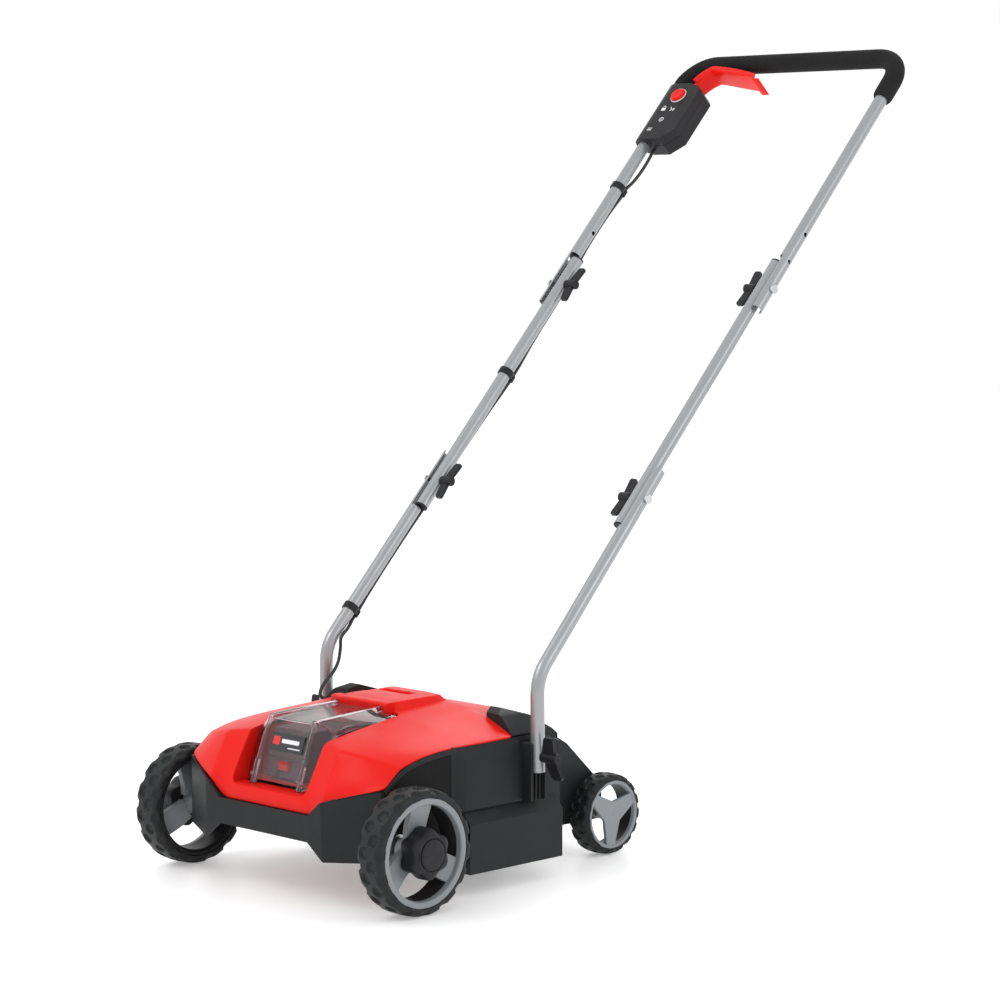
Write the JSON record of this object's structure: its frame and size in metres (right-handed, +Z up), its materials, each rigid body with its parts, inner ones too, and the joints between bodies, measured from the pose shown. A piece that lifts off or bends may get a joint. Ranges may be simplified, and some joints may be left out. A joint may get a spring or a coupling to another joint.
{
  "type": "lawn scarifier",
  "caption": "Walk-behind battery lawn scarifier with a red hood, knife shaft, four wheels and a folding tube handle.",
  "frame": {"origin": "on the ground, under the middle of the whole machine's box", "axes": "+Z up, the nose faces -Y, the handle rises towards +Y, +X is the belt side"},
  "size_m": [0.523, 1.109, 1.1302],
  "materials": {
    "housing_black": "fine matt grain",
    "body_red": "gloss",
    "bay_red": "satin",
    "pack_black": "fine grain",
    "circuit_board": "lacquered",
    "machined_steel": "turned",
    "knife_steel": "stamped and zinc plated",
    "inner_plastic": "moulded",
    "belt_rubber": "ribbed",
    "tube_steel": "silver powder coat",
    "fastener_steel": "zinc plated",
    "cable_black": "satin sheath",
    "trim_black": "fine grain",
    "tyre_black": "hard moulded plastic tread",
    "rim_grey": "satin",
    "clear_cover": "clear smoked plastic",
    "control_red": "gloss",
    "flap_black": "fine matt grain",
    "foam": "closed-cell foam"
  },
  "bodies": {
    "machine": {"chassis": "housing_black", "hood": "body_red", "battery_bay": "bay_red", "rear_trim": "housing_black", "belt_cover": "housing_black", "battery_pack": "pack_black", "control_board": "circuit_board", "motor": "machined_steel", "motor_bracket": "machined_steel", "drive_belt": "belt_rubber", "reel_bearings": "machined_steel", "cover_hinge_pin": "machined_steel", "flap_rod": "machined_steel", "rear_axle": "machined_steel", "lower_tube_left": "tube_steel", "lower_tube_right": "tube_steel", "frame_bolts": "fastener_steel", "housing_screws": "fastener_steel", "cable_lower": "cable_black", "cable_clip_lower": "trim_black"},
    "crank_left": {"depth_crank_left": "machined_steel", "depth_knob_left": "trim_black"},
    "front_wheel_left": {"front_tyre_left": "tyre_black", "front_rim_left": "rim_grey"},
    "rear_wheel_left": {"rear_tyre_left": "tyre_black", "rear_rim_left": "rim_grey"},
    "crank_right": {"depth_crank_right": "machined_steel", "depth_knob_right": "trim_black"},
    "front_wheel_right": {"front_tyre_right": "tyre_black", "front_rim_right": "rim_grey"},
    "rear_wheel_right": {"rear_tyre_right": "tyre_black", "rear_rim_right": "rim_grey"},
    "knife_shaft": {"reel_shaft": "machined_steel", "reel_knives": "knife_steel", "reel_spacers": "inner_plastic", "reel_pulley": "inner_plastic"},
    "motor_drive": {"motor_pulley": "machined_steel"},
    "cover": {"battery_cover": "clear_cover"},
    "latch": {"battery_latch": "control_red"},
    "flap": {"rear_flap": "flap_black"},
    "middle_frame": {"middle_tube_left": "tube_steel", "middle_tube_right": "tube_steel", "middle_tube_plugs": "trim_black", "hinge_bolts": "fastener_steel", "cable_middle": "cable_black", "cable_clip_middle": "trim_black"},
    "upper_frame": {"upper_handle": "tube_steel", "foam_grip": "foam", "switch_box_front": "trim_black", "switch_box_rear": "trim_black", "cable_upper": "cable_black", "cable_clip_upper": "trim_black"},
    "bail": {"bail_lever": "control_red"},
    "button": {"safety_button": "control_red"},
    "nut_base_left": {"wing_nut_base_left": "trim_black"},
    "nut_base_right": {"wing_nut_base_right": "trim_black"},
    "nut_lower_left": {"wing_nut_lower_left": "trim_black"},
    "nut_lower_right": {"wing_nut_lower_right": "trim_black"},
    "nut_upper_left": {"wing_nut_upper_left": "trim_black"},
    "nut_upper_right": {"wing_nut_upper_right": "trim_black"}
  },
  "joints": [
    {"name": "depth_left", "type": "hinge", "parent": "machine", "child": "crank_left", "pos_m": [-0.18, -0.47255, 0.09], "axis": [1, 0, 0], "range_deg": [0, 120]},
    {"name": "front_spin_left", "type": "hinge", "parent": "crank_left", "child": "front_wheel_left", "pos_m": [-0.224, -0.47255, 0.082], "axis": [1, 0, 0], "continuous": true},
    {"name": "rear_spin_left", "type": "hinge", "parent": "machine", "child": "rear_wheel_left", "pos_m": [-0.139, -0.03055, 0.0565], "axis": [1, 0, 0], "continuous": true},
    {"name": "depth_right", "type": "hinge", "parent": "machine", "child": "crank_right", "pos_m": [0.18, -0.47255, 0.09], "axis": [1, 0, 0], "range_deg": [0, 120]},
    {"name": "front_spin_right", "type": "hinge", "parent": "crank_right", "child": "front_wheel_right", "pos_m": [0.224, -0.47255, 0.082], "axis": [1, 0, 0], "continuous": true},
    {"name": "rear_spin_right", "type": "hinge", "parent": "machine", "child": "rear_wheel_right", "pos_m": [0.139, -0.03055, 0.0565], "axis": [1, 0, 0], "continuous": true},
    {"name": "knife_spin", "type": "hinge", "parent": "machine", "child": "knife_shaft", "pos_m": [0, -0.26955, 0.072], "axis": [1, 0, 0], "continuous": true},
    {"name": "motor_spin", "type": "hinge", "parent": "machine", "child": "motor_drive", "pos_m": [0.173, -0.30755, 0.172], "axis": [1, 0, 0], "continuous": true},
    {"name": "cover_hinge", "type": "hinge", "parent": "machine", "child": "cover", "pos_m": [0, -0.35955, 0.235], "axis": [-1, 0, 0], "range_deg": [0, 95]},
    {"name": "latch_press", "type": "slide", "parent": "machine", "child": "latch", "axis": [0, 1, 0], "range_m": [0, 0.0025], "stiffness_N_per_m": 600, "springref_m": -0.002},
    {"name": "flap_hinge", "type": "hinge", "parent": "machine", "child": "flap", "pos_m": [0, -0.15055, 0.185], "axis": [1, 0, 0], "range_deg": [0, 70]},
    {"name": "lower_fold", "type": "hinge", "parent": "machine", "child": "middle_frame", "pos_m": [0, -0.03, 0.50005], "axis": [1, 0, 0], "range_deg": [0, 160], "deforming": ["cable_lower", "cable_middle"]},
    {"name": "upper_fold", "type": "hinge", "parent": "middle_frame", "child": "upper_frame", "pos_m": [0, 0.22955, 0.78034], "axis": [1, 0, 0], "range_deg": [-160, 0], "deforming": ["cable_upper"]},
    {"name": "bail_squeeze", "type": "hinge", "parent": "upper_frame", "child": "bail", "pos_m": [-0.173, 0.49181, 1.06356], "axis": [0, -0.7337, 0.6794], "range_deg": [0, 11], "stiffness_Nm_per_rad": 2, "springref_deg": -8.59},
    {"name": "button_press", "type": "slide", "parent": "upper_frame", "child": "button", "axis": [0, 0.7337, -0.6794], "range_m": [0, 0.004], "stiffness_N_per_m": 500, "springref_m": -0.002},
    {"name": "nut_base_left_turn", "type": "hinge", "parent": "machine", "child": "nut_base_left", "pos_m": [-0.235, -0.23655, 0.172], "axis": [1, 0, 0], "continuous": true},
    {"name": "nut_base_right_turn", "type": "hinge", "parent": "machine", "child": "nut_base_right", "pos_m": [0.235, -0.23655, 0.172], "axis": [1, 0, 0], "continuous": true},
    {"name": "nut_lower_left_turn", "type": "hinge", "parent": "machine", "child": "nut_lower_left", "pos_m": [-0.177, -0.03, 0.50005], "axis": [1, 0, 0], "continuous": true},
    {"name": "nut_lower_right_turn", "type": "hinge", "parent": "machine", "child": "nut_lower_right", "pos_m": [0.177, -0.03, 0.50005], "axis": [1, 0, 0], "continuous": true},
    {"name": "nut_upper_left_turn", "type": "hinge", "parent": "middle_frame", "child": "nut_upper_left", "pos_m": [-0.177, 0.22955, 0.78034], "axis": [1, 0, 0], "continuous": true},
    {"name": "nut_upper_right_turn", "type": "hinge", "parent": "middle_frame", "child": "nut_upper_right", "pos_m": [0.177, 0.22955, 0.78034], "axis": [1, 0, 0], "continuous": true}
  ],
  "couplings": [
    {"joint": "motor_spin", "follows": "knife_spin", "ratio": 2.3077}
  ]
}
